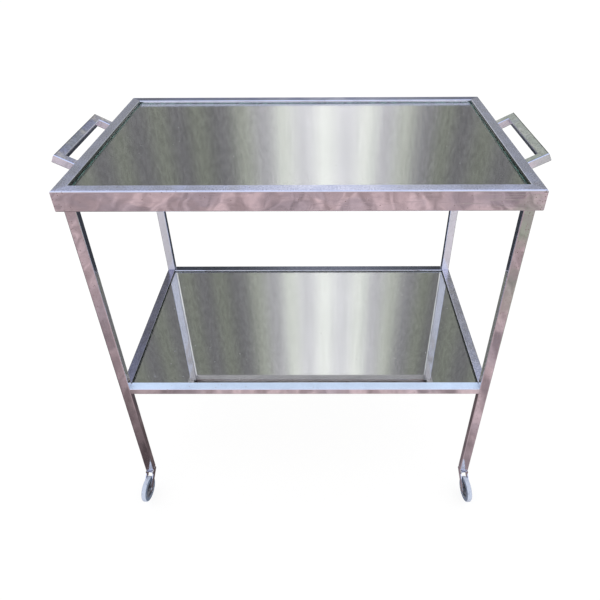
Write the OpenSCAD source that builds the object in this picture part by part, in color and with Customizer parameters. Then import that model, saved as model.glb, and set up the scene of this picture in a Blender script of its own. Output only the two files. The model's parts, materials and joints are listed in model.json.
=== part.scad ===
// Two-tier bar cart: chromed rectangular tube frame, two recessed mirror panes,
// a raised tube handle at each end and four swivel casters.
// Millimetres, +Z up. The origin is on the floor under the middle of the cart.
// +X runs along the long side, and -Y is the front.

/* [Frame] */
// Length of the top frame, without the handles
frame_length = 720; // [600:5:900]
// Depth of the top frame
frame_depth = 416; // [340:2:520]
// Height of the top frame's upper face above the floor
cart_height = 750; // [620:5:900]
// Height of the shelf frame's upper face above the floor
shelf_height = 320; // [200:5:420]

/* [Top rails] */
// Width of the top rail tube, seen from above
top_rail_width = 20; // [16:0.5:30]
// Height of the top rail tube
top_rail_height = 35; // [32:1:50]
// Wall of the top rail tube
top_rail_wall = 1.5; // [1:0.1:2]
// Outer corner radius of the top rail tube
top_rail_radius = 2.5; // [1.6:0.1:4]

/* [Legs and shelf rails] */
// Wide side of the leg and shelf tube
tube_width = 18; // [16:0.5:26]
// Narrow side of the leg and shelf tube
tube_depth = 14; // [11.5:0.5:20]
// Wall of the leg and shelf tube
tube_wall = 1.2; // [0.8:0.1:1.4]
// Outer corner radius of the leg and shelf tube
tube_radius = 1.8; // [1.2:0.1:2.4]
// Distance of each leg in from the outer sides of the top frame
leg_inset = 8; // [0:0.5:14]

/* [Mirror panes] */
// Thickness of the glass
glass_thickness = 5; // [4:0.5:6]
// Thickness of the silvering with its protective coat
silvering_thickness = 1; // [0.5:0.1:1.5]
// Air film between the glass and the silvering
silvering_film = 0.05; // [0.02:0.01:0.1]
// Gap all round between a pane and its frame
pane_gap = 0.5; // [0.5:0.1:2]
// Depth of the upper pane below the top of its rails
top_recess = 5; // [2:0.5:8]
// Depth of the lower pane below the top of its rails
shelf_recess = 2; // [0.5:0.5:3]
// Width of the ledges that carry the panes
ledge_width = 12; // [10:1:16]
// Thickness of the ledges
ledge_thickness = 2; // [1.5:0.5:3]
// Height of the flange that fixes an upper ledge to its rail
top_ledge_drop = 12; // [6:1:14]
// Height of the flange that fixes a lower ledge to its rail
shelf_ledge_drop = 4; // [3:0.5:5]
// Diameter of the pads under the panes
pad_diameter = 8; // [6:0.5:8]
// Thickness of the pads
pad_thickness = 1; // [0.5:0.1:1.5]

/* [Handles] */
// Side of the square handle tube
handle_tube = 15; // [12:0.5:18]
// Wall of the handle tube
handle_wall = 1.2; // [1:0.1:2]
// Outer corner radius of the handle tube
handle_radius = 2; // [1.4:0.1:3]
// Length of a handle over both arms
handle_span = 190; // [150:5:260]
// Reach of a handle along its slope
handle_reach = 44; // [38:1:60]
// Slope of a handle above level
handle_angle = 28; // [0:1:35]
// Depth below the top of the frame at which a handle's upper face leaves the rail
handle_drop = 14; // [4:0.5:16]

/* [Casters] */
// Diameter of a wheel over its tyre
wheel_diameter = 52; // [44:1:64]
// Width of the tyre
tyre_width = 10; // [8:0.5:13]
// Radial thickness of the tyre
tyre_thickness = 8; // [5:0.5:10]
// Shoulder radius of the tyre
tyre_shoulder = 3; // [1:0.5:3.5]
// Horizontal distance from the swivel axis back to the wheel's axle
trail = 30; // [24:1:36]
// Clear height between the wheel and the plate of the fork
wheel_headroom = 3.9; // [3:0.1:8]
// Thickness of the fork's sheet metal
fork_sheet = 1.8; // [1.5:0.1:2.5]
// Clear gap between the tyre and each arm of the fork
tyre_gap = 1.5; // [1:0.1:4]
// Diameter of the axle
axle_diameter = 5; // [4:0.5:7]
// Wall of the socket between the stem and the leg tube
socket_wall = 1.8; // [1.4:0.1:2.4]
// Length of the socket inside the leg
socket_length = 36; // [30:1:50]
// Thickness of the bearing cup between leg and fork
cup_thickness = 2; // [1.5:0.5:4]
// Angle by which the casters stand turned outward at rest
caster_splay = 7; // [0:1:20]

/* [Fits] */
// Radial clearance between a turning shaft and its bore
running_clearance = 0.05; // [0.02:0.01:0.09]
// Clearance between faces that pass each other
face_clearance = 0.3; // [0.3:0.05:0.6]

/* [Hidden] */
$fn = 48;

chrome = [0.80, 0.79, 0.82];
zinc = [0.62, 0.63, 0.66];
glass_tint = [0.55, 0.66, 0.62, 0.45];
silver = [0.45, 0.47, 0.46];
grey_rubber = [0.82, 0.85, 0.90];
grey_plastic = [0.50, 0.53, 0.58];
black_rubber = [0.12, 0.12, 0.12];

// Margin by which a cutting shape reaches past what it cuts
cut = 1;

// Caster heights, from the floor up
wheel_radius = wheel_diameter / 2;
fork_plate_bottom = wheel_diameter + wheel_headroom;
fork_plate_top = fork_plate_bottom + fork_sheet;
cup_bottom = fork_plate_top + face_clearance;
leg_bottom = cup_bottom + cup_thickness;
leg_top = cart_height - top_rail_height;

// Places of the four swivel axes: [x, y, angle of the caster]
leg_x = frame_length / 2 - leg_inset - tube_width / 2;
leg_y = frame_depth / 2 - leg_inset - tube_depth / 2;
front_left = [-leg_x, -leg_y, -caster_splay];
front_right = [leg_x, -leg_y, caster_splay];
back_left = [-leg_x, leg_y, 180 + caster_splay];
back_right = [leg_x, leg_y, 180 - caster_splay];

// Openings inside the two frames
top_opening = [frame_length - 2 * top_rail_width, frame_depth - 2 * top_rail_width];
shelf_opening = [frame_length - 2 * (leg_inset + tube_width), frame_depth - 2 * (leg_inset + tube_width)];

// Heights of the panes and the ledges under them
top_glass_top = cart_height - top_recess;
shelf_glass_top = shelf_height - shelf_recess;
pane_stack = glass_thickness + silvering_film + silvering_thickness;
top_ledge_top = top_glass_top - pane_stack - pad_thickness;
shelf_ledge_top = shelf_glass_top - pane_stack - pad_thickness;

// Rectangle with rounded corners, centred
module rounded_rectangle(width, height, radius) {
    square([width - 2 * radius, height], center = true);
    square([width, height - 2 * radius], center = true);
    for (x = [-1, 1], y = [-1, 1])
        translate([x * (width / 2 - radius), y * (height / 2 - radius)]) circle(radius);
}

// Section of a rectangular tube, centred
module tube_section(width, height, wall, radius) {
    difference() {
        rounded_rectangle(width, height, radius);
        rounded_rectangle(width - 2 * wall, height - 2 * wall, radius - wall / 2);
    }
}

// Tube along X, centred, with its section's width along Y
module tube_along_x(length, width, height, wall, radius) {
    rotate([90, 0, 90])
        linear_extrude(length, center = true) tube_section(width, height, wall, radius);
}

// ---- Top frame ----

// Tube with both ends mitred, along X, its outer face on y = 0 and its top on z = 0
module top_rail(length) {
    color(chrome) intersection() {
        translate([0, top_rail_width / 2, -top_rail_height / 2])
            tube_along_x(length, top_rail_width, top_rail_height, top_rail_wall, top_rail_radius);
        translate([0, 0, -top_rail_height - cut])
            linear_extrude(top_rail_height + 2 * cut) polygon([
                [-length / 2 - cut, -cut],
                [length / 2 + cut, -cut],
                [length / 2 - top_rail_width - cut, top_rail_width + cut],
                [-length / 2 + top_rail_width + cut, top_rail_width + cut]
            ]);
    }
}

module top_long_rail(turn) {
    rotate([0, 0, turn]) translate([0, -frame_depth / 2, cart_height]) top_rail(frame_length);
}

module top_short_rail(turn) {
    rotate([0, 0, turn]) translate([0, -frame_length / 2, cart_height]) top_rail(frame_depth);
}

// Angle strip along X that carries a pane, its back on y = 0 and its top on z = 0
module ledge(length, drop) {
    color(zinc) {
        translate([-length / 2, 0, -ledge_thickness]) cube([length, ledge_width, ledge_thickness]);
        translate([-length / 2, 0, -drop]) cube([length, ledge_thickness, drop]);
    }
}

// Ledge along a long side of an opening, running its whole length
module long_ledge(opening, level, drop, turn) {
    rotate([0, 0, turn]) translate([0, -opening[1] / 2, level]) ledge(opening[0], drop);
}

// Ledge along a short side of an opening, between the two long ones
module short_ledge(opening, level, drop, turn) {
    rotate([0, 0, turn]) translate([0, -opening[0] / 2, level])
        ledge(opening[1] - 2 * ledge_width, drop);
}

// ---- Panes ----

module pane(opening, thickness, top) {
    translate([0, 0, top - thickness / 2])
        cube([opening[0] - 2 * pane_gap, opening[1] - 2 * pane_gap, thickness], center = true);
}

module glass(opening, top) {
    color(glass_tint) pane(opening, glass_thickness, top);
}

module silvering(opening, top) {
    color(silver) pane(opening, silvering_thickness, top - glass_thickness - silvering_film);
}

// Three pads along each long ledge
module pads(opening, level) {
    reach = opening[0] / 2 - ledge_width;
    for (x = [-reach, 0, reach], side = [-1, 1])
        translate([x, side * (opening[1] - ledge_width) / 2, level])
            cylinder(h = pad_thickness, d = pad_diameter);
}

module glass_pads() {
    color(black_rubber) {
        pads(top_opening, top_ledge_top);
        pads(shelf_opening, shelf_ledge_top);
    }
}

// ---- Legs and shelf frame ----

module leg(place) {
    color(chrome) translate([place[0], place[1], leg_bottom])
        linear_extrude(leg_top - leg_bottom)
            tube_section(tube_width, tube_depth, tube_wall, tube_radius);
}

// Shelf tube along X, lying flat, its outer face on y = 0 and its top on z = 0
module shelf_rail(length) {
    color(chrome) translate([0, tube_width / 2, -tube_depth / 2])
        tube_along_x(length, tube_width, tube_depth, tube_wall, tube_radius);
}

// Long shelf rail, flush with the fronts of the legs and butted between their inner sides
module shelf_long_rail(turn) {
    rotate([0, 0, turn]) translate([0, leg_inset - frame_depth / 2, shelf_height])
        shelf_rail(shelf_opening[0]);
}

// Short shelf rail, flush with the outer sides of the legs and butted between them
module shelf_short_rail(turn) {
    rotate([0, 0, turn]) translate([0, leg_inset - frame_length / 2, shelf_height])
        shelf_rail(frame_depth - 2 * (leg_inset + tube_depth));
}

// ---- Handles ----

// Section of the handle tube swept along X, with its upper face on z = 0
module handle_bar(length) {
    translate([0, 0, -handle_tube / 2])
        tube_along_x(length, handle_tube, handle_tube, handle_wall, handle_radius);
}

// Tilts a level piece to the handle's slope and puts it on the right-hand end of the frame
module on_right_end() {
    translate([frame_length / 2, 0, cart_height - handle_drop]) rotate([0, -handle_angle, 0]) children();
}

// Everything beyond the outer face of the right-hand rail
module beyond_right_rail() {
    size = 4 * handle_reach + handle_span;
    translate([frame_length / 2, -size / 2, cart_height - size / 2]) cube(size);
}

// Arm at the front of the right-hand handle: square on the rail, mitred at the grip
module handle_arm() {
    root = 2 * handle_tube;
    edge = -handle_span / 2;
    color(chrome) intersection() {
        on_right_end() intersection() {
            translate([(handle_reach - root) / 2, edge + handle_tube / 2, 0])
                handle_bar(handle_reach + root);
            translate([0, 0, -handle_tube - cut])
                linear_extrude(handle_tube + 2 * cut) polygon([
                    [-root, edge - cut],
                    [handle_reach + cut, edge - cut],
                    [handle_reach - handle_tube - cut, edge + handle_tube + cut],
                    [-root, edge + handle_tube + cut]
                ]);
        }
        beyond_right_rail();
    }
}

// Grip of the right-hand handle, mitred at both ends
module handle_grip() {
    half = handle_span / 2;
    inner = handle_reach - handle_tube;
    color(chrome) on_right_end() intersection() {
        translate([handle_reach - handle_tube / 2, 0, 0]) rotate([0, 0, 90]) handle_bar(handle_span);
        translate([0, 0, -handle_tube - cut])
            linear_extrude(handle_tube + 2 * cut) polygon([
                [handle_reach + cut, -half - cut],
                [handle_reach + cut, half + cut],
                [inner - cut, half - handle_tube - cut],
                [inner - cut, -half + handle_tube + cut]
            ]);
    }
}

// ---- Casters ----
// Each caster is drawn with its swivel axis on Z, its wheel trailing towards -Y.

stem_diameter = tube_depth - 2 * (tube_wall + socket_wall);
stem_flange_diameter = stem_diameter + 3;
fork_inner_bend = 0.8;
fork_bend = fork_sheet + fork_inner_bend;
// The fork is wide enough for the tyre and for the flange of the stem
fork_gap = max(tyre_width + 2 * tyre_gap, stem_flange_diameter + 2 * fork_inner_bend);
fork_width = fork_gap + 2 * fork_sheet;
hub_length = fork_gap - 2 * face_clearance;
plate_back = stem_flange_diameter / 2 + 1.5;
plate_front = plate_back + 3;
plate_skirt = 7;
eye_radius = axle_diameter / 2 + 3;
rivet_head_height = 1.4;
rivet_head_diameter = axle_diameter + 3;
stem_flange_height = 1.2;
stem_ring_diameter = stem_diameter + 1.2;
stem_ring_height = 2;
chamber_diameter = stem_ring_diameter + 0.6;
chamber_height = 8;
chamber_bottom = leg_bottom + socket_length - chamber_height - 2;
cup_diameter = tube_depth + 3;

module at_caster(place) {
    translate([place[0], place[1], 0]) rotate([0, 0, place[2]]) children();
}

// Puts a round part, drawn along Z, on the wheel's axle
module on_axle() {
    translate([0, -trail, wheel_radius]) rotate([0, 90, 0]) children();
}

// Plug pressed into the foot of the leg, with a stepped bore for the stem
module socket(place) {
    color(grey_plastic) translate([place[0], place[1], leg_bottom]) difference() {
        linear_extrude(socket_length)
            rounded_rectangle(tube_width - 2 * tube_wall, tube_depth - 2 * tube_wall, tube_radius - tube_wall / 2);
        translate([0, 0, -cut])
            cylinder(h = chamber_bottom - leg_bottom + 2 * cut, d = stem_diameter + 2 * running_clearance);
        translate([0, 0, chamber_bottom - leg_bottom]) cylinder(h = chamber_height, d = chamber_diameter);
    }
}

// Dished washer under the leg, in which the fork turns
module bearing_cup(place) {
    color(zinc) translate([place[0], place[1], cup_bottom]) difference() {
        union() {
            cylinder(h = cup_thickness, d = cup_diameter - 2);
            translate([0, 0, cup_thickness / 2]) cylinder(h = cup_thickness / 2, d = cup_diameter);
        }
        translate([0, 0, -cut])
            cylinder(h = cup_thickness + 2 * cut, d = stem_diameter + 2 * running_clearance);
    }
}

// Swivel pin riveted under the fork's plate, with a ring that keeps it in the socket
module stem(place) {
    ring_bottom = chamber_bottom + face_clearance;
    color(zinc) at_caster(place) {
        translate([0, 0, fork_plate_bottom])
            cylinder(h = ring_bottom + stem_ring_height + 1 - fork_plate_bottom, d = stem_diameter);
        translate([0, 0, fork_plate_bottom - stem_flange_height])
            cylinder(h = stem_flange_height, d = stem_flange_diameter);
        translate([0, 0, ring_bottom]) cylinder(h = stem_ring_height, d = stem_ring_diameter);
    }
}

// Point where the line from an outside point touches a circle; side is 1 or -1
function tangent_point(outside, centre, radius, side) =
    let (
        away = outside - centre,
        turn = atan2(away[1], away[0]) + side * acos(radius / norm(away))
    )
    centre + radius * [cos(turn), sin(turn)];

// Side view of the fork above its round eye: plate and arm tapering to the axle.
// The taper runs just inside the eye's edge, so that the two outlines cross cleanly.
module fork_outline() {
    eye = [-trail, wheel_radius];
    taper_radius = eye_radius - 0.2;
    front = [-plate_front, fork_plate_top - plate_skirt];
    back = [plate_back, fork_plate_top - plate_skirt];
    polygon([
        [-plate_front, fork_plate_top + cut],
        [plate_back, fork_plate_top + cut],
        back,
        tangent_point(back, eye, taper_radius, -1),
        eye,
        tangent_point(front, eye, taper_radius, 1),
        front
    ]);
}

// Cross-section of the fork: sheet bent into an inverted U
module fork_channel() {
    height = fork_plate_top;
    difference() {
        translate([0, height / 2]) rounded_rectangle(fork_width, height, fork_bend);
        translate([0, height / 2 - fork_sheet])
            rounded_rectangle(fork_gap, height, fork_bend - fork_sheet);
    }
}

// Bent sheet trimmed to the side view, with holes for stem and axle
module fork(place) {
    color(chrome) at_caster(place) difference() {
        union() {
            intersection() {
                rotate([90, 0, 0]) linear_extrude(4 * trail, center = true) fork_channel();
                rotate([90, 0, 90]) linear_extrude(fork_width + 2 * cut, center = true) fork_outline();
            }
            for (side = [-1, 1])
                translate([side * (fork_width - fork_sheet) / 2, 0, 0])
                    on_axle() cylinder(h = fork_sheet, r = eye_radius, center = true);
        }
        translate([0, 0, fork_plate_bottom - cut]) cylinder(h = fork_sheet + 2 * cut, d = stem_diameter);
        on_axle() cylinder(h = fork_width + 2 * cut, d = axle_diameter, center = true);
    }
}

// Rivet through both arms, with a head on each side
module axle(place) {
    color(zinc) at_caster(place) on_axle() {
        cylinder(h = fork_width, d = axle_diameter, center = true);
        for (side = [-1, 1])
            translate([0, 0, side * (fork_width + rivet_head_height) / 2])
                cylinder(h = rivet_head_height, d = rivet_head_diameter, center = true);
    }
}

hub_rim_radius = wheel_radius - tyre_thickness;
hub_rim_thickness = 3;
hub_web_thickness = 3;
hub_boss_diameter = axle_diameter + 5;

// Wheel centre: boss, web and rim in one turning
module hub(place) {
    bore = axle_diameter / 2 + running_clearance;
    color(grey_plastic) at_caster(place) on_axle() rotate_extrude() {
        translate([bore, -hub_length / 2]) square([hub_boss_diameter / 2 - bore, hub_length]);
        translate([bore, -hub_web_thickness / 2]) square([hub_rim_radius - bore, hub_web_thickness]);
        translate([hub_rim_radius - hub_rim_thickness, -tyre_width / 2 + 1])
            square([hub_rim_thickness, tyre_width - 2]);
    }
}

// Tyre with a flat tread and rounded shoulders
module tyre(place) {
    tread = tyre_thickness - tyre_shoulder;
    color(grey_rubber) at_caster(place) on_axle() rotate_extrude() {
        translate([hub_rim_radius, -tyre_width / 2]) square([tread, tyre_width]);
        translate([hub_rim_radius, -tyre_width / 2 + tyre_shoulder])
            square([tyre_thickness, tyre_width - 2 * tyre_shoulder]);
        for (side = [-1, 1])
            translate([hub_rim_radius + tread, side * (tyre_width / 2 - tyre_shoulder)])
                circle(tyre_shoulder);
    }
}

// ---- Nodes ----

top_long_rail(0);  // top_front_rail
top_long_rail(180);  // top_back_rail
top_short_rail(270);  // top_left_rail
top_short_rail(90);  // top_right_rail
long_ledge(top_opening, top_ledge_top, top_ledge_drop, 0);  // top_front_ledge
long_ledge(top_opening, top_ledge_top, top_ledge_drop, 180);  // top_back_ledge
short_ledge(top_opening, top_ledge_top, top_ledge_drop, 270);  // top_left_ledge
short_ledge(top_opening, top_ledge_top, top_ledge_drop, 90);  // top_right_ledge
glass(top_opening, top_glass_top);  // top_glass
silvering(top_opening, top_glass_top);  // top_silvering
shelf_long_rail(0);  // shelf_front_rail
shelf_long_rail(180);  // shelf_back_rail
shelf_short_rail(270);  // shelf_left_rail
shelf_short_rail(90);  // shelf_right_rail
long_ledge(shelf_opening, shelf_ledge_top, shelf_ledge_drop, 0);  // shelf_front_ledge
long_ledge(shelf_opening, shelf_ledge_top, shelf_ledge_drop, 180);  // shelf_back_ledge
short_ledge(shelf_opening, shelf_ledge_top, shelf_ledge_drop, 270);  // shelf_left_ledge
short_ledge(shelf_opening, shelf_ledge_top, shelf_ledge_drop, 90);  // shelf_right_ledge
glass(shelf_opening, shelf_glass_top);  // shelf_glass
silvering(shelf_opening, shelf_glass_top);  // shelf_silvering
glass_pads();
leg(front_left);  // front_left_leg
leg(front_right);  // front_right_leg
leg(back_left);  // back_left_leg
leg(back_right);  // back_right_leg
mirror([1, 0, 0]) handle_grip();  // left_handle_grip
mirror([1, 0, 0]) handle_arm();  // left_handle_front_arm
mirror([1, 0, 0]) mirror([0, 1, 0]) handle_arm();  // left_handle_back_arm
handle_grip();  // right_handle_grip
handle_arm();  // right_handle_front_arm
mirror([0, 1, 0]) handle_arm();  // right_handle_back_arm
socket(front_left);  // front_left_socket
bearing_cup(front_left);  // front_left_cup
stem(front_left);  // front_left_stem
fork(front_left);  // front_left_fork
axle(front_left);  // front_left_axle
hub(front_left);  // front_left_hub
tyre(front_left);  // front_left_tyre
socket(front_right);  // front_right_socket
bearing_cup(front_right);  // front_right_cup
stem(front_right);  // front_right_stem
fork(front_right);  // front_right_fork
axle(front_right);  // front_right_axle
hub(front_right);  // front_right_hub
tyre(front_right);  // front_right_tyre
socket(back_left);  // back_left_socket
bearing_cup(back_left);  // back_left_cup
stem(back_left);  // back_left_stem
fork(back_left);  // back_left_fork
axle(back_left);  // back_left_axle
hub(back_left);  // back_left_hub
tyre(back_left);  // back_left_tyre
socket(back_right);  // back_right_socket
bearing_cup(back_right);  // back_right_cup
stem(back_right);  // back_right_stem
fork(back_right);  // back_right_fork
axle(back_right);  // back_right_axle
hub(back_right);  // back_right_hub
tyre(back_right);  // back_right_tyre
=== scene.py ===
"""Looks of a two-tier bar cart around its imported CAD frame: chrome tube, smoked mirror panes, casters.

Metres, in the row frame: origin on the floor under the middle of the cart, +X to the right-hand
handle, -Y to the front, +Z up.
"""

import json
import math

import bpy
from mathutils import Matrix, Vector


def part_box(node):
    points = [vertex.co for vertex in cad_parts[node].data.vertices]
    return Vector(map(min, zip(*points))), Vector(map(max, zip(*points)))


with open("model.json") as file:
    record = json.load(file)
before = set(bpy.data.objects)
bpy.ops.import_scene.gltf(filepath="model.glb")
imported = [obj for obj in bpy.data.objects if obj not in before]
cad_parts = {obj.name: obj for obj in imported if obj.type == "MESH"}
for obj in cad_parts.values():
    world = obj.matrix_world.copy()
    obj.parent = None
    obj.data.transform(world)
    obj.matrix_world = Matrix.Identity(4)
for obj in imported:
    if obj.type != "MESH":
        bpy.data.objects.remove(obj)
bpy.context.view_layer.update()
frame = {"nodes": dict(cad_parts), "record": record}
NODES = frame["nodes"]
SLOT_OF = {part["node"]: part["material_slot"] for part in frame["record"]["subparts"]}


# ---- Camera: the photograph's viewing angle ----

FOCAL_IN_WIDTHS = 0.8823
CAMERA_PLACE = (0.0326, -0.8849, 1.1079)
CAMERA_PITCH_DOWN = 34.26
CAMERA_TURN = 0.42
CAMERA_ROLL = -0.36
FRAMING_SHIFT = (-0.0298, -0.0833)
SENSOR_WIDTH_MM = 36


def add_camera():
    data = bpy.data.cameras.new("camera")
    data.sensor_width = SENSOR_WIDTH_MM
    data.lens = data.sensor_width * FOCAL_IN_WIDTHS
    data.shift_x, data.shift_y = FRAMING_SHIFT
    camera = bpy.data.objects.new("camera", data)
    turn = Matrix.Rotation(math.radians(CAMERA_TURN), 4, "Z")
    tilt = Matrix.Rotation(math.radians(90 - CAMERA_PITCH_DOWN), 4, "X")
    roll = Matrix.Rotation(math.radians(CAMERA_ROLL), 4, "Z")
    camera.matrix_world = Matrix.Translation(CAMERA_PLACE) @ turn @ tilt @ roll
    bpy.context.scene.collection.objects.link(camera)
    bpy.context.scene.camera = camera


# ---- Node helpers ----


class Tree:
    """A node tree with short ways to add and join nodes."""

    def __init__(self, owner):
        owner.use_nodes = True
        self.nodes = owner.node_tree.nodes
        self.links = owner.node_tree.links
        self.nodes.clear()

    def add(self, kind, inputs=None, **settings):
        made = self.nodes.new(kind)
        for name, value in settings.items():
            setattr(made, name, value)
        for name, value in (inputs or {}).items():
            self.put(made.inputs[name], value)
        return made

    def put(self, socket, value):
        if isinstance(value, bpy.types.NodeSocket):
            self.links.new(value, socket)
        else:
            socket.default_value = value

    def math(self, operation, a, b=0.0, c=0.0, clamp=False):
        made = self.add("ShaderNodeMath", {0: a, 1: b, 2: c}, operation=operation, use_clamp=clamp)
        return made.outputs[0]

    def remap(self, value, from_low, from_high, to_low, to_high):
        made = self.add(
            "ShaderNodeMapRange",
            {"Value": value, "From Min": from_low, "From Max": from_high,
             "To Min": to_low, "To Max": to_high},
            interpolation_type="SMOOTHSTEP",
        )
        return made.outputs["Result"]

    def blend(self, factor, a, b, how="MIX"):
        made = self.add("ShaderNodeMix", data_type="RGBA", blend_type=how)
        self.put(made.inputs["Factor"], factor)
        self.put(made.inputs["A"], a)
        self.put(made.inputs["B"], b)
        return made.outputs["Result"]

    def noise(self, place, scale, detail=3.0, roughness=0.5, stretch=(1, 1, 1)):
        moved = self.add("ShaderNodeMapping", {"Vector": place, "Scale": stretch})
        made = self.add(
            "ShaderNodeTexNoise",
            {"Vector": moved.outputs[0], "Scale": scale, "Detail": detail, "Roughness": roughness},
        )
        return made.outputs["Fac"]

    def cells(self, place, scale):
        return self.add("ShaderNodeTexVoronoi", {"Vector": place, "Scale": scale})

    def bump(self, height, distance, below=None):
        made = self.add("ShaderNodeBump", {"Height": height, "Distance": distance, "Strength": 1.0})
        if below is not None:
            self.put(made.inputs["Normal"], below)
        return made.outputs["Normal"]


def object_place(tree):
    return tree.add("ShaderNodeTexCoord").outputs["Object"]


def object_normal(tree):
    """The face's normal in the piece's own frame, split into X, Y and Z."""
    normal = tree.add("ShaderNodeTexCoord").outputs["Normal"]
    return tree.add("ShaderNodeSeparateXYZ", {"Vector": normal})


def close(tree, shader):
    """Makes the shader the material's surface."""
    tree.add("ShaderNodeOutputMaterial", {"Surface": shader})


def rgb(r, g, b):
    return (r, g, b, 1.0)


def darker(colour, r, g, b):
    """The colour with its red, green and blue each multiplied by a share under 1."""
    return rgb(colour[0] * r, colour[1] * g, colour[2] * b)


WHITE = rgb(1.0, 1.0, 1.0)


# ---- Materials ----

X_AXIS, Y_AXIS, Z_AXIS = 0, 1, 2
CORNER_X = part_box("top_right_rail")[1].x
CORNER_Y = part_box("top_back_rail")[1].y


def scratches(tree, place, along):
    """Fine hairlines running mostly along one axis, 0 where clean and 1 in a scratch."""
    fine = [900.0, 900.0, 900.0]
    fine[along] = 14.0
    lines = tree.noise(place, 1.0, detail=2.0, roughness=0.7, stretch=tuple(fine))
    return tree.remap(lines, 0.62, 0.74, 0.0, 1.0)


def pits(tree, place, spacing, share):
    """Specks of corrosion: 1 in a speck. share is the part of the cells that hold one."""
    cells = tree.cells(place, 1 / spacing)
    speck = tree.remap(cells.outputs["Distance"], 0.10, 0.26, 1.0, 0.0)
    pick = tree.add("ShaderNodeSeparateColor", {"Color": cells.outputs["Color"]})
    chosen = tree.math("LESS_THAN", pick.outputs[0], share)
    return tree.math("MULTIPLY", speck, chosen)


def facing(tree, axis, start):
    """1 on faces whose own normal leans to an axis by more than start, which is a cosine."""
    return tree.remap(object_normal(tree).outputs[axis], start, start + 0.1, 0.0, 1.0)


def facing_back(tree, axis, start):
    """1 on faces that look the other way along an axis."""
    return tree.remap(object_normal(tree).outputs[axis], -start - 0.1, -start, 1.0, 0.0)


def near_corners(tree, place):
    """1 at the mitred corners of the top frame, where corrosion starts, fading out along the rails."""
    parts = tree.add("ShaderNodeSeparateXYZ", {"Vector": place})
    along = tree.math("SUBTRACT", CORNER_X, tree.math("ABSOLUTE", parts.outputs["X"]))
    across = tree.math("SUBTRACT", CORNER_Y, tree.math("ABSOLUTE", parts.outputs["Y"]))
    squares = tree.math("ADD", tree.math("POWER", along, 2.0), tree.math("POWER", across, 2.0))
    away = tree.math("SQRT", squares)
    return tree.remap(away, 0.005, 0.045, 1.0, 0.0)


PLATE = rgb(0.90, 0.88, 0.92)


def tarnish_and_painted_reflection_patches(tree, place):
    """Dark tarnish of the handles with painted reflection in it: navy on the left one, olive on the right
    one, with soft tan patches of painted reflection.
    """
    across = tree.add("ShaderNodeSeparateXYZ", {"Vector": place}).outputs["X"]
    wander = tree.math("MULTIPLY_ADD", tree.noise(place, 22.0, detail=2.0), 2.0, -1.0)
    side = tree.remap(tree.math("ADD", across, wander), -0.5, 0.5, 0.0, 1.0)
    light = tree.remap(tree.noise(place, 38.0, detail=3.0, stretch=(1, 0.6, 1)), 0.46, 0.70, 0.0, 0.75)
    grain = tree.remap(tree.noise(place, 240.0, detail=3.0), 0.35, 0.65, 0.75, 1.25)
    dark = tree.blend(side, rgb(0.17, 0.19, 0.31), rgb(0.20, 0.23, 0.18))
    patched = tree.blend(light, dark, rgb(0.50, 0.47, 0.42))
    return tree.blend(1.0, patched, grain, "MULTIPLY")


def facing_inward(tree, place):
    """1 on the inner walls of the end rails, which look along X towards the middle of the cart; it places the
    painted shade beside the panes.
    """
    across = tree.add("ShaderNodeSeparateXYZ", {"Vector": place}).outputs["X"]
    outward = tree.math("MULTIPLY", tree.math("SIGN", across), object_normal(tree).outputs["X"])
    return tree.remap(outward, -0.55, -0.35, 1.0, 0.0)


RUST = rgb(0.24, 0.13, 0.10)
# Painted shade: the near-black colour painted on the inner walls above the panes, standing in for a dark
# reflection.
PAINTED_SHADE_BESIDE_PANES = rgb(0.04, 0.07, 0.06)
FACING_START = 0.86
PAINTED_REFLECTION_AND_TARNISH_TOP_START = 0.72
PAINTED_REFLECTION_AND_TARNISH_COVER = 0.85
FRECKLE_SPACING = 0.0034
UNDERSIDE_HAZE = 0.7


def freckles(tree, place):
    """Rust freckles: few along the tubes and many at the corners of the top frame."""
    share = tree.math("MULTIPLY_ADD", near_corners(tree, place), 0.75, 0.05)
    return pits(tree, place, FRECKLE_SPACING, share)


def pitted_top_with_painted_light(tree, place, below, tint, speckle, tarnish_and_painted_reflection):
    """Colour of the faces that look up: the colour below, tinted with painted light (a painted sky reflection
    where the tint is bluish, painted shade where it is dark) and speckled, under any tarnish with painted
    reflection.
    """
    # The tint is painted light: a painted sky reflection where bluish, painted shade where dark.
    top = tree.blend(1.0, below, tint, "MULTIPLY")
    bloom = tree.remap(tree.noise(place, 420.0, detail=3.0, roughness=0.75), 0.36, 0.64, 0.0, 1.0)
    speckled = tree.blend(tree.math("MULTIPLY", bloom, speckle), top, darker(tint, 0.52, 0.52, 0.60))
    # On the handles the tops take dark tarnish mixed with painted reflection.
    if tarnish_and_painted_reflection:
        return tree.blend(PAINTED_REFLECTION_AND_TARNISH_COVER, speckled, tarnish_and_painted_reflection_patches(tree, place))
    return speckled


def plate_roughness(tree, place, haze, hairs, specks, up, top_roughness):
    """Nearly polished; rougher in haze, in hairlines and freckles, and in patches on the tops."""
    patchy = tree.remap(tree.noise(place, 30.0, detail=3.0), 0.35, 0.65, 0.75, 1.15)
    rough = tree.math("MULTIPLY_ADD", haze, 0.06, 0.035)
    rough = tree.math("MULTIPLY_ADD", hairs, 0.12, rough)
    rough = tree.math("MULTIPLY_ADD", tree.math("MULTIPLY", up, patchy), top_roughness, rough)
    return tree.math("MULTIPLY_ADD", specks, 0.45, rough, clamp=True)


def mirror_left(tree, up, top_haze, front_haze):
    """Share of each face that is still mirror, where the rest has gone to a pale bloom."""
    milky = tree.math("MULTIPLY", up, top_haze)
    milky = tree.math("MULTIPLY_ADD", facing_back(tree, "Z", FACING_START), UNDERSIDE_HAZE, milky)
    milky = tree.math("MULTIPLY_ADD", facing_back(tree, "Y", FACING_START), front_haze, milky)
    return tree.math("SUBTRACT", 1.0, milky, clamp=True)


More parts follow.
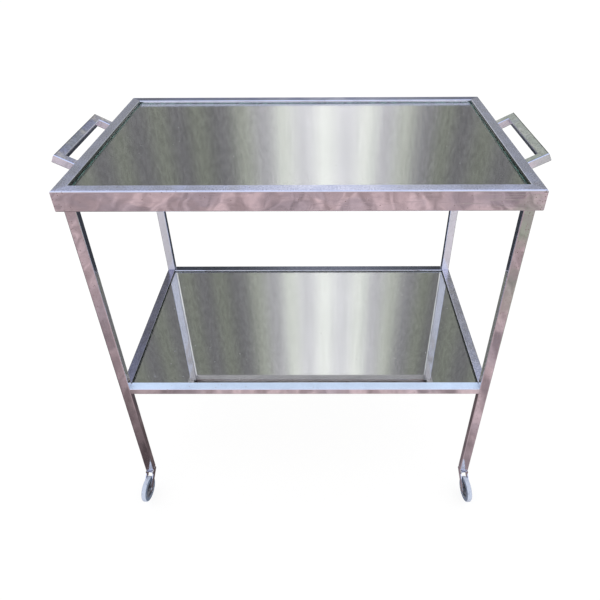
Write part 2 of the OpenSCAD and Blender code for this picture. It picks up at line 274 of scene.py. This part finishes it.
def plate_relief(tree, place, hairs, specks):
    """Slightly wavy plating with cut hairlines and pitted freckles."""
    wavy = tree.bump(tree.noise(place, 14.0, detail=2.0, roughness=0.45), 0.0012)
    cut = tree.bump(hairs, 0.00002, below=wavy)
    return tree.bump(tree.math("MULTIPLY", specks, -1.0), 0.0001, below=cut)


def chrome(name, along, top_roughness, top_painted_light_tint, plate=PLATE, speckle=1.0, top_haze=0.0, front_haze=0.0,
           inner_painted_shade=0.0, tarnish_and_painted_reflection=False):
    """Old chrome plate on tubes whose hairlines run along one axis.

    The top tint, top_roughness and speckle set how dulled the faces are that look up; the tint is painted
    light, a painted sky reflection where bluish and painted shade where dark. A haze is the share of a face
    that has lost its mirror to a pale bloom; the inner shade darkens the walls beside the panes with
    near-black painted shade.
    """
    material = bpy.data.materials.new(name)
    tree = Tree(material)
    place = object_place(tree)
    up = facing(tree, "Z", PAINTED_REFLECTION_AND_TARNISH_TOP_START if tarnish_and_painted_reflection else FACING_START)
    hairs = scratches(tree, place, along)
    specks = freckles(tree, place)
    haze = tree.remap(tree.noise(place, 22.0, detail=5.0, roughness=0.6), 0.42, 0.70, 0.0, 1.0)
    dulled = tree.blend(haze, plate, darker(plate, 0.89, 0.89, 0.90))
    # Painted shade: the inner walls beside the panes are painted near black.
    beside_pane_shade = tree.math("MULTIPLY", facing_inward(tree, place), inner_painted_shade)
    dulled = tree.blend(beside_pane_shade, dulled, PAINTED_SHADE_BESIDE_PANES)
    top = pitted_top_with_painted_light(tree, place, dulled, top_painted_light_tint, speckle, tarnish_and_painted_reflection)
    shader = tree.add(
        "ShaderNodeBsdfPrincipled",
        {"Base Color": tree.blend(specks, tree.blend(up, dulled, top), RUST),
         "Metallic": mirror_left(tree, up, top_haze, front_haze),
         "Roughness": plate_roughness(tree, place, haze, hairs, specks, up, top_roughness),
         "Normal": plate_relief(tree, place, hairs, specks)},
    )
    close(tree, shader.outputs[0])
    return material


GLASS_IOR = 1.5
GLASS_FACE = rgb(0.88, 0.89, 0.885)
PANE_FACE_START = 0.95
GROUND_SHARE = 0.75


def smoked_glass(name, edge_colour, chip_colour):
    """Float glass: faint smoke over the face, chipped at its ground edges, smudges in the gloss."""
    material = bpy.data.materials.new(name)
    tree = Tree(material)
    place = object_place(tree)
    smudge = tree.remap(tree.noise(place, 9.0, detail=6.0, roughness=0.65), 0.55, 0.8, 0.0, 1.0)
    normal = tree.add("ShaderNodeNewGeometry").outputs["True Normal"]
    parts = tree.add("ShaderNodeSeparateXYZ", {"Vector": normal})
    edge = tree.math("LESS_THAN", tree.math("ABSOLUTE", parts.outputs["Z"]), PANE_FACE_START)
    chips = tree.remap(tree.noise(place, 90.0, detail=4.0, roughness=0.7), 0.40, 0.62, 0.0, 1.0)
    chipped = tree.blend(chips, edge_colour, chip_colour)
    colour = tree.blend(edge, GLASS_FACE, chipped)
    rough = tree.math("MULTIPLY_ADD", smudge, 0.03, 0.004)
    rough = tree.math("MULTIPLY_ADD", edge, 0.35, rough)
    clear = tree.add(
        "ShaderNodeBsdfPrincipled",
        {"Base Color": colour, "Roughness": rough, "IOR": GLASS_IOR, "Transmission Weight": 1.0},
    )
    ground = tree.add("ShaderNodeBsdfDiffuse", {"Color": chipped})
    part = tree.math("MULTIPLY", edge, GROUND_SHARE)
    mixed = tree.add("ShaderNodeMixShader", {0: part, 1: clear.outputs[0], 2: ground.outputs[0]})
    close(tree, mixed.outputs[0])
    return material


PINHOLE_SPACING = 0.008
PINHOLE_SHARE = 0.04


def silvering():
    """The mirror's metal film, faintly clouded and with a few pinholes, and the pale paint on its back."""
    material = bpy.data.materials.new("silvering")
    tree = Tree(material)
    place = object_place(tree)
    holes = pits(tree, place, PINHOLE_SPACING, PINHOLE_SHARE)
    cloud = tree.remap(tree.noise(place, 3.0, detail=4.0), 0.35, 0.7, 0.0, 1.0)
    clean = tree.blend(cloud, rgb(0.80, 0.80, 0.80), rgb(0.75, 0.755, 0.75))
    colour = tree.blend(tree.math("MULTIPLY", holes, 0.5), clean, rgb(0.5, 0.5, 0.5))
    rough = tree.math("MULTIPLY_ADD", holes, 0.3, 0.015)
    film = tree.add(
        "ShaderNodeBsdfPrincipled", {"Base Color": colour, "Metallic": 1.0, "Roughness": rough}
    )
    brushed = tree.noise(place, 1.0, detail=3.0, roughness=0.6, stretch=(8, 120, 1))
    strokes = tree.remap(brushed, 0.35, 0.65, 0.0, 1.0)
    coat = tree.blend(strokes, rgb(0.66, 0.65, 0.62), rgb(0.56, 0.55, 0.53))
    paint = tree.add(
        "ShaderNodeBsdfPrincipled",
        {"Base Color": coat, "Roughness": 0.6, "Normal": tree.bump(brushed, 0.0001)},
    )
    back = tree.math("LESS_THAN", object_normal(tree).outputs["Z"], -0.5)
    both = tree.add("ShaderNodeMixShader", {0: back, 1: film.outputs[0], 2: paint.outputs[0]})
    close(tree, both.outputs[0])
    return material


def plain_steel(name, colour, rough_low, rough_high):
    """Bare or zinc-plated steel, mottled and stained."""
    material = bpy.data.materials.new(name)
    tree = Tree(material)
    place = object_place(tree)
    mottle = tree.noise(place, 60.0, detail=5.0, roughness=0.65)
    stain = tree.remap(tree.noise(place, 18.0, detail=3.0), 0.45, 0.7, 0.0, 1.0)
    shade = tree.blend(stain, colour, darker(colour, 0.62, 0.58, 0.54))
    rough = tree.remap(mottle, 0.35, 0.65, rough_low, rough_high)
    normal = tree.bump(mottle, 0.00006)
    shader = tree.add(
        "ShaderNodeBsdfPrincipled",
        {"Base Color": shade, "Metallic": 1.0, "Roughness": rough, "Normal": normal},
    )
    close(tree, shader.outputs[0])
    return material


def dull(name, colour, worn_colour, rough_low, rough_high, grain):
    """Rubber or moulded plastic: a fine grain, rubbed patches and scuffs."""
    material = bpy.data.materials.new(name)
    tree = Tree(material)
    place = object_place(tree)
    grains = tree.noise(place, grain, detail=3.0, roughness=0.6)
    worn = tree.remap(tree.noise(place, 95.0, detail=5.0, roughness=0.62), 0.48, 0.66, 0.0, 1.0)
    shade = tree.blend(worn, colour, worn_colour)
    rough = tree.remap(grains, 0.3, 0.7, rough_low, rough_high)
    normal = tree.bump(grains, 0.00008)
    shader = tree.add(
        "ShaderNodeBsdfPrincipled", {"Base Color": shade, "Roughness": rough, "Normal": normal}
    )
    close(tree, shader.outputs[0])
    return material


TREAD = rgb(0.54, 0.60, 0.74)
PAINTED_SHADE_SIDE_WALL = rgb(0.13, 0.17, 0.25)
SCUFF = rgb(0.24, 0.26, 0.31)


def tyre_rubber():
    """Pale tread, scuffed, and side walls painted darker as painted shade."""
    material = bpy.data.materials.new("tyre_rubber")
    tree = Tree(material)
    place = object_place(tree)
    grains = tree.noise(place, 1100.0, detail=3.0, roughness=0.6)
    scuffs = tree.remap(tree.noise(place, 120.0, detail=5.0, roughness=0.62), 0.50, 0.68, 0.0, 1.0)
    # Painted shade: the side walls are painted darker than the tread.
    side = tree.remap(tree.math("ABSOLUTE", object_normal(tree).outputs["X"]), 0.70, 0.92, 0.0, 1.0)
    clean = tree.blend(side, TREAD, PAINTED_SHADE_SIDE_WALL)
    shade = tree.blend(tree.math("MULTIPLY", scuffs, 0.5), clean, SCUFF)
    shader = tree.add(
        "ShaderNodeBsdfPrincipled",
        {"Base Color": shade, "Roughness": tree.remap(grains, 0.3, 0.7, 0.40, 0.70),
         "Normal": tree.bump(grains, 0.00008)},
    )
    close(tree, shader.outputs[0])
    return material


def platings_by_ending():
    """Pairs of an ending and a plating: a node wears the plating of the first ending its name has."""
    # The top tints below are painted light: the bluish ones paint the sky's reflection, the dark ones on the
    # back rails paint shade, and the left shelf rail is painted darker than the right one.
    front_top = chrome("chrome_top_front", X_AXIS, 0.34, rgb(0.92, 0.96, 1.08), top_haze=0.15)
    back_top = chrome("chrome_top_back", X_AXIS, 0.50, rgb(0.46, 0.48, 0.54))
    ends = chrome("chrome_top_ends", Y_AXIS, 0.24, rgb(0.92, 0.96, 1.06), top_haze=0.12, inner_painted_shade=0.85)
    shelf_front = chrome(
        "chrome_shelf_front", X_AXIS, 0.12, rgb(0.80, 0.96, 1.20), plate=rgb(0.95, 0.96, 1.0),
        speckle=0.15, top_haze=0.80
    )
    shelf_back = chrome("chrome_shelf_back", X_AXIS, 0.22, rgb(0.20, 0.22, 0.26))
    shelf_left = chrome("chrome_shelf_left", Y_AXIS, 0.20, rgb(0.50, 0.50, 0.58), inner_painted_shade=0.95)
    shelf_right = chrome("chrome_shelf_right", Y_AXIS, 0.20, rgb(1.05, 1.06, 1.10), inner_painted_shade=0.95)
    front_legs = chrome("chrome_front_legs", Z_AXIS, 0.10, WHITE)
    back_legs = chrome(
        "chrome_back_legs", Z_AXIS, 0.10, WHITE, plate=rgb(0.91, 0.91, 1.0), front_haze=0.65
    )
    handle = chrome(
        "chrome_handle", Y_AXIS, 0.12, WHITE, plate=rgb(0.88, 0.90, 1.0), front_haze=0.25,
        tarnish_and_painted_reflection=True
    )
    return [
        ("top_front_rail", front_top),
        ("top_back_rail", back_top),
        ("shelf_front_rail", shelf_front),
        ("shelf_back_rail", shelf_back),
        ("shelf_left_rail", shelf_left),
        ("shelf_right_rail", shelf_right),
        ("_rail", ends),
        ("back_left_leg", back_legs),
        ("back_right_leg", back_legs),
        ("_leg", front_legs),
        ("_fork", front_legs),
        ("", handle),
    ]


def dress_nodes():
    """Gives every node the material of its slot, and each chrome one the plating of its group."""
    plated = platings_by_ending()
    by_slot = {
        "ledge": plain_steel("ledge_steel", rgb(0.62, 0.62, 0.63), 0.35, 0.6),
        "zinc_steel": plain_steel("zinc_steel", rgb(0.60, 0.61, 0.64), 0.22, 0.42),
        "glass": smoked_glass("upper_glass", rgb(0.22, 0.62, 0.42), rgb(0.05, 0.16, 0.12)),
        "silvering": silvering(),
        "pad": dull("pad_rubber", rgb(0.02, 0.02, 0.02), rgb(0.05, 0.05, 0.05), 0.6, 0.9, 900.0),
        "caster_plastic": dull(
            "caster_plastic", rgb(0.11, 0.12, 0.15), rgb(0.22, 0.23, 0.26), 0.35, 0.6, 700.0
        ),
        "tyre": tyre_rubber(),
    }
    for name, node in NODES.items():
        slot = SLOT_OF[name]
        if slot == "chrome":
            chosen = next(material for ending, material in plated if name.endswith(ending))
        else:
            chosen = by_slot[slot]
        node.data.materials.clear()
        node.data.materials.append(chosen)
    lower = smoked_glass("lower_glass", rgb(0.03, 0.05, 0.05), rgb(0.01, 0.015, 0.015))
    NODES["shelf_glass"].data.materials[0] = lower


ARRIS_WIDTH = 0.0012


def grind_glass_edges():
    """A narrow arris round each pane, as ground glass has."""
    for name in ("top_glass", "shelf_glass"):
        arris = NODES[name].modifiers.new("arris", "BEVEL")
        arris.width = ARRIS_WIDTH
        arris.segments = 2


# ---- Studio ----

FLOOR_SIZE = 60.0
LIT_FROM_BELOW = 0.8
FLOOR_GLOW = 1.03
SKY_GLOW = 1.05
WHITE_GLOW = 1.06


def stone_in_gloss(tree, place):
    """Colour of the floor in reflections: warm stone with painted shadow towards and under the cart,
    darkening behind it.
    """
    parts = tree.add("ShaderNodeSeparateXYZ", {"Vector": place})
    blotch = tree.remap(tree.noise(place, 4.0, detail=5.0, roughness=0.6), 0.38, 0.64, 0.0, 1.0)
    grit = tree.remap(tree.noise(place, 30.0, detail=4.0, roughness=0.7), 0.30, 0.70, 0.85, 1.15)
    streak = tree.noise(place, 1.0, detail=3.0, roughness=0.6, stretch=(20, 2.5, 1))
    grit = tree.math("MULTIPLY", grit, tree.remap(streak, 0.34, 0.66, 0.66, 1.26))
    warm = tree.blend(blotch, rgb(0.56, 0.43, 0.44), rgb(0.40, 0.325, 0.35))
    mossy = tree.remap(tree.noise(place, 3.0, detail=3.0), 0.44, 0.58, 0.0, 1.0)
    right = tree.remap(parts.outputs["X"], 0.45, 0.85, 0.0, 0.8)
    stone = tree.blend(tree.math("MULTIPLY", mossy, right), warm, rgb(0.34, 0.40, 0.30))
    gritty = tree.blend(1.0, stone, grit, "MULTIPLY")
    # Painted shadow: the stone is painted darker towards the cart, where it lies in the cart's shade.
    leaning = tree.math("MULTIPLY_ADD", parts.outputs["X"], -0.4, parts.outputs["Y"])
    near = tree.remap(leaning, -0.5, -0.10, 1.0, 0.25)
    shaded = tree.blend(1.0, gritty, near, "MULTIPLY")
    behind = tree.remap(parts.outputs["Y"], -0.05, 0.30, 0.0, 1.0)
    farther = tree.remap(parts.outputs["Y"], 1.0, 2.6, 0.0, 1.0)
    far_side = tree.blend(farther, rgb(0.040, 0.045, 0.056), rgb(0.30, 0.31, 0.34))
    return tree.blend(behind, shaded, far_side)


def not_seen_directly(tree):
    """1 for what a reflection or the glass shows, 0 for what the camera sees and for light on matt things."""
    path = tree.add("ShaderNodeLightPath")
    return tree.math("MAXIMUM", path.outputs["Is Glossy Ray"], path.outputs["Is Transmission Ray"])


def floor_material():
    """Pale to the eye; in the chrome's reflections it is the warm stone floor round the real cart."""
    material = bpy.data.materials.new("floor")
    tree = Tree(material)
    glow = tree.add("ShaderNodeEmission", {"Color": stone_in_gloss(tree, object_place(tree))})
    matt = tree.add("ShaderNodeBsdfDiffuse", {"Color": rgb(0.97, 0.97, 0.97)})
    lit = tree.add("ShaderNodeEmission", {"Color": WHITE, "Strength": FLOOR_GLOW})
    pale = tree.add("ShaderNodeMixShader", {0: LIT_FROM_BELOW, 1: matt.outputs[0], 2: lit.outputs[0]})
    mixed = tree.add(
        "ShaderNodeMixShader", {0: not_seen_directly(tree), 1: pale.outputs[0], 2: glow.outputs[0]}
    )
    close(tree, mixed.outputs[0])
    return material


def add_floor():
    half = FLOOR_SIZE / 2
    mesh = bpy.data.meshes.new("floor")
    corners = [(-half, -half, 0), (half, -half, 0), (half, half, 0), (-half, half, 0)]
    mesh.from_pydata(corners, [], [(0, 1, 2, 3)])
    floor = bpy.data.objects.new("floor", mesh)
    mesh.materials.append(floor_material())
    bpy.context.scene.collection.objects.link(floor)


SCREEN_Y = 2.2
SCREEN_HEIGHT = 3.03
SCREEN_HALF_WIDTH = 4.5
BRIGHT_MIDDLE_X = 0.105
BRIGHT_HALF_WIDTH = 0.05
FADED_HALF_WIDTH = 0.76
FOLD_RADIANS_PER_METRE = 24.8
FOLD_PHASE = -1.2
FOLD_WANDER = 3.0
FOLD_DEPTH = 0.09
SIDE_BRIGHTNESS = 0.27
MIDDLE_ADDS = 0.90


def screen_material():
    """Folded light screen: a bright middle, grey sides and soft upright folds."""
    material = bpy.data.materials.new("screen")
    tree = Tree(material)
    place = object_place(tree)
    parts = tree.add("ShaderNodeSeparateXYZ", {"Vector": place})
    across = parts.outputs["X"]
    off_centre = tree.math("ABSOLUTE", tree.math("SUBTRACT", across, BRIGHT_MIDDLE_X))
    bright = tree.remap(off_centre, BRIGHT_HALF_WIDTH, FADED_HALF_WIDTH, 1.0, 0.0)
    level = tree.math("MULTIPLY_ADD", bright, MIDDLE_ADDS, SIDE_BRIGHTNESS)
    drift = tree.noise(place, 1.7, detail=1.0, stretch=(1, 1, 0.05))
    regular = tree.math("MULTIPLY_ADD", across, FOLD_RADIANS_PER_METRE, FOLD_PHASE)
    fold = tree.math("SINE", tree.math("MULTIPLY_ADD", drift, FOLD_WANDER, regular))
    streak = tree.noise(place, 1.0, detail=4.0, roughness=0.6, stretch=(15, 1, 1.3))
    drips = tree.noise(place, 1.0, detail=5.0, roughness=0.7, stretch=(52, 1, 16))
    at_sides = tree.math("SUBTRACT", 1.0, bright)
    ridged = tree.math("MULTIPLY", level, tree.math("MULTIPLY_ADD", fold, FOLD_DEPTH, 1.0))
    streaked = tree.math("MULTIPLY", ridged, tree.remap(streak, 0.25, 0.75, 0.94, 1.06))
    dripping = tree.math("MULTIPLY", at_sides, tree.remap(drips, 0.35, 0.65, -0.13, 0.13))
    streaked = tree.math("MULTIPLY", streaked, tree.math("ADD", dripping, 1.0))
    green = tree.blend(at_sides, rgb(0.99, 1.0, 0.98), rgb(0.99, 1.03, 0.92))
    hue = tree.blend(tree.math("MULTIPLY_ADD", fold, 0.5, 0.5), rgb(0.99, 0.975, 1.03), green)
    colour = tree.blend(1.0, hue, streaked, "MULTIPLY")
    close(tree, tree.add("ShaderNodeEmission", {"Color": colour}).outputs[0])
    return material


def add_screen():
    """Stands behind the cart for the panes and the chrome to reflect; it is not seen and lights nothing."""
    mesh = bpy.data.meshes.new("screen")
    side = SCREEN_HALF_WIDTH
    corners = [(-side, 0, 0), (side, 0, 0), (side, 0, SCREEN_HEIGHT), (-side, 0, SCREEN_HEIGHT)]
    mesh.from_pydata(corners, [], [(0, 1, 2, 3)])
    mesh.materials.append(screen_material())
    screen = bpy.data.objects.new("screen", mesh)
    screen.location.y = SCREEN_Y
    screen.visible_camera = False
    screen.visible_diffuse = False
    screen.visible_shadow = False
    bpy.context.scene.collection.objects.link(screen)


def add_world():
    """Even white light on matt things; in reflections a sky that is neutral low down and bluer above."""
    world = bpy.data.worlds.new("studio")
    bpy.context.scene.world = world
    tree = Tree(world)
    direction = tree.add("ShaderNodeTexCoord").outputs["Generated"]
    height = tree.add("ShaderNodeSeparateXYZ", {"Vector": direction}).outputs["Z"]
    above = tree.remap(height, 0.10, 0.55, 0.0, 1.0)
    shade = tree.blend(above, rgb(0.74, 0.76, 0.80), rgb(0.68, 0.76, 1.0))
    sky = tree.add("ShaderNodeBackground", {"Color": shade, "Strength": SKY_GLOW})
    white = tree.add("ShaderNodeBackground", {"Color": WHITE, "Strength": WHITE_GLOW})
    mixed = tree.add(
        "ShaderNodeMixShader", {0: not_seen_directly(tree), 1: white.outputs[0], 2: sky.outputs[0]}
    )
    tree.add("ShaderNodeOutputWorld", {"Surface": mixed.outputs[0]})


def add_softbox(name, place, aim, size, power):
    data = bpy.data.lights.new(name, "AREA")
    data.shape = "RECTANGLE"
    data.size, data.size_y = size
    data.energy = power
    light = bpy.data.objects.new(name, data)
    light.location = place
    light.rotation_euler = (Vector(aim) - Vector(place)).to_track_quat("-Z", "Y").to_euler()
    bpy.context.scene.collection.objects.link(light)
    return light


def add_lights():
    overhead = add_softbox("overhead", place=(0.3, 0.5, 3.2), aim=(0, 0, 0.3), size=(3.5, 3.0), power=14)
    overhead.visible_glossy = False
    overhead.visible_transmission = False


bpy.context.scene.view_settings.view_transform = "Standard"
add_camera()
dress_nodes()
grind_glass_edges()
add_floor()
add_screen()
add_world()
add_lights()
